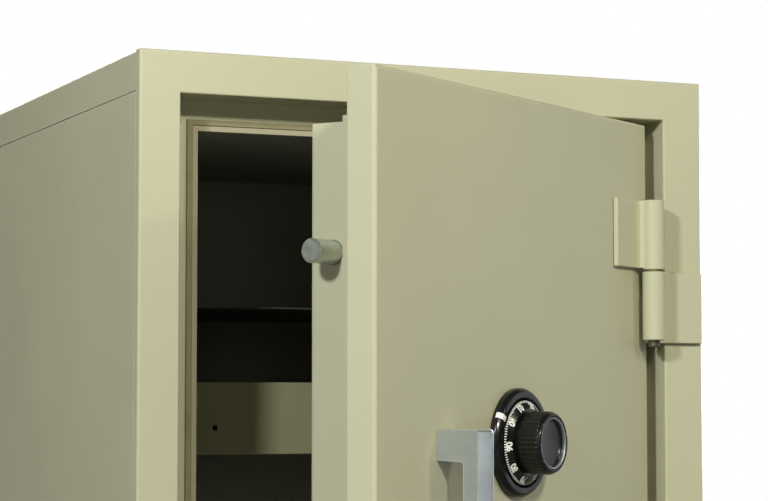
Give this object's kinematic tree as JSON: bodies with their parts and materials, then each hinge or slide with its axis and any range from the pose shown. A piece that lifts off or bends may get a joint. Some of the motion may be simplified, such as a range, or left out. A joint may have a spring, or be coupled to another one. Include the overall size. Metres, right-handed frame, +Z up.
{
  "type": "fireproof document box",
  "caption": "Fire safe for documents with an insulated, stepped door on two hinges, two round bolts, a turning lever handle and a combination dial.",
  "frame": {"origin": "centre of the cabinet base, on the floor, with the front face at Y = -0.285 and the back at Y = +0.285", "axes": "+Z up, front towards -Y, +X to the right as seen from the front; the hinges are on the right"},
  "size_m": [0.6, 0.8433, 0.726],
  "materials": {
    "paint": "beige enamel with a fine orange peel",
    "dark_paint": "matt charcoal enamel",
    "fill": "cast, rough",
    "seal": "matt",
    "zinc": "zinc plated, dull",
    "steel": "turned",
    "brass": "satin",
    "screws": "plated",
    "chrome": "satin chrome",
    "black": "black enamel"
  },
  "bodies": {
    "cabinet": {"front_frame": "paint", "side_wrap": "paint", "top_cap": "paint", "back_panel": "paint", "body_insulation": "fill", "side_insulation": "fill", "inner_liner": "dark_paint", "lip_seal": "seal", "upper_shelf": "dark_paint", "document_tray": "paint", "shelf_ledge_upper_left": "zinc", "shelf_ledge_upper_right": "zinc", "shelf_ledge_lower_left": "zinc", "shelf_ledge_lower_right": "zinc", "bolt_socket_upper": "zinc", "bolt_socket_lower": "zinc", "hinge_frame_leaf_upper": "paint", "hinge_frame_leaf_lower": "paint", "hinge_pin_upper": "steel", "hinge_pin_lower": "steel", "hinge_washer_upper": "brass", "hinge_washer_lower": "brass"},
    "door": {"door_skin": "paint", "door_insulation": "fill", "door_back_plate": "paint", "plug_box": "paint", "plug_insulation": "fill", "mechanism_plate": "zinc", "plug_cover": "paint", "cover_screw_1": "screws", "cover_screw_2": "screws", "cover_screw_3": "screws", "cover_screw_4": "screws", "cover_screw_5": "screws", "cover_screw_6": "screws", "hinge_door_leaf_upper": "paint", "hinge_door_leaf_lower": "paint", "bolt_guide_upper": "zinc", "bolt_guide_lower": "zinc", "handle_tube": "zinc", "dial_tube": "zinc", "dial_ring": "black", "lock_wheel_1": "brass", "lock_wheel_2": "brass", "lock_wheel_3": "brass", "lock_case": "zinc", "lock_cover": "brass"},
    "handle": {"handle": "chrome", "handle_spindle": "steel", "handle_cam": "zinc"},
    "bolts": {"bolt_carriage": "zinc", "bolt_upper": "steel", "bolt_lower": "steel"},
    "dial": {"dial": "black", "dial_knob": "black", "dial_spindle": "steel", "drive_wheel": "brass"},
    "lock_bolt": {"lock_bolt": "brass"}
  },
  "joints": [
    {"name": "door_hinge", "type": "hinge", "parent": "cabinet", "child": "door", "pos_m": [0.234, -0.301, 0.363], "axis": [0, 0, 1], "range_deg": [-33.75, 136.25]},
    {"name": "handle_turn", "type": "hinge", "parent": "door", "child": "handle", "pos_m": [-0.09043, -0.49854, 0.363], "axis": [-0.5556, 0.8315, 0], "range_deg": [0, 90]},
    {"name": "bolt_slide", "type": "slide", "parent": "door", "child": "bolts", "axis": [-0.8315, -0.5556, 0], "range_m": [0, 0.028]},
    {"name": "dial_turn", "type": "hinge", "parent": "door", "child": "dial", "pos_m": [0.01392, -0.42881, 0.363], "axis": [-0.5556, 0.8315, 0], "continuous": true},
    {"name": "lock_bolt_slide", "type": "slide", "parent": "door", "child": "lock_bolt", "axis": [0, 0, 1], "range_m": [0, 0.01]}
  ],
  "couplings": [
    {"joint": "bolt_slide", "follows": "handle_turn", "m_per_rad": 0.017825}
  ]
}
